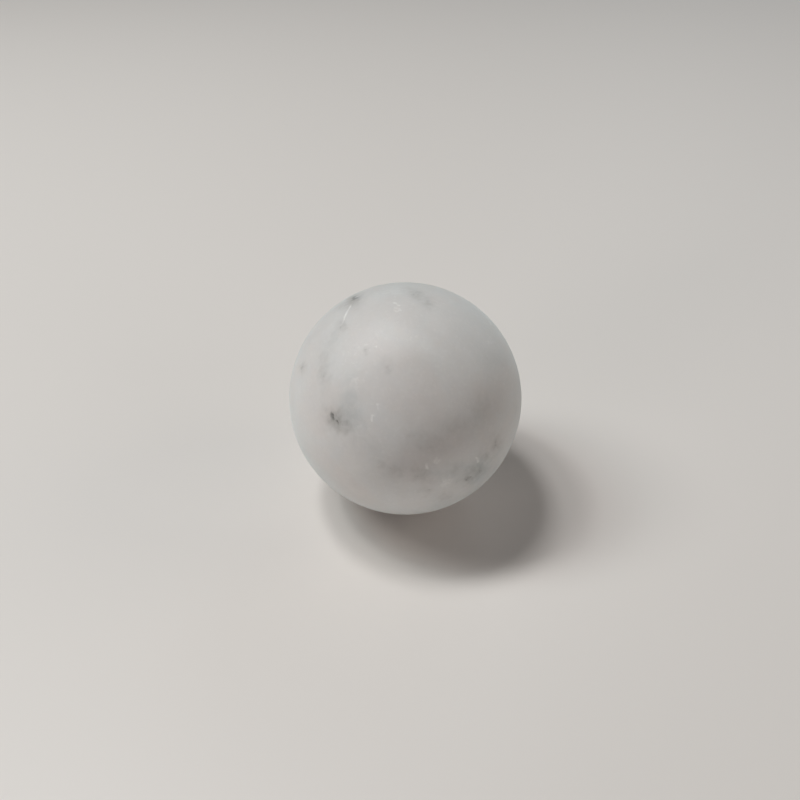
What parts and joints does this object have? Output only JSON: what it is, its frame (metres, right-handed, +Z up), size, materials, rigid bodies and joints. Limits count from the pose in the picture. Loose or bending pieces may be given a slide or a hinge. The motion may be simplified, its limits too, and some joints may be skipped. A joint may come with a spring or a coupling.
{
  "type": "cue ball",
  "caption": "Solid spherical cue ball of pale honed marble with soft grey clouds and fine dark specks, free to roll on a table or sit in a pocket.",
  "frame": {"origin": "the centre of the ball", "axes": "+Z up, so the ball rests on its lowest point; +X to the right and +Y away as the ball is seen from the front, which fixes where its veins and specks lie"},
  "size_m": [0.0572, 0.0572, 0.0572],
  "materials": {
    "honed_marble": "matte"
  },
  "bodies": {
    "root": {"ball": "honed_marble"}
  },
  "joints": []
}
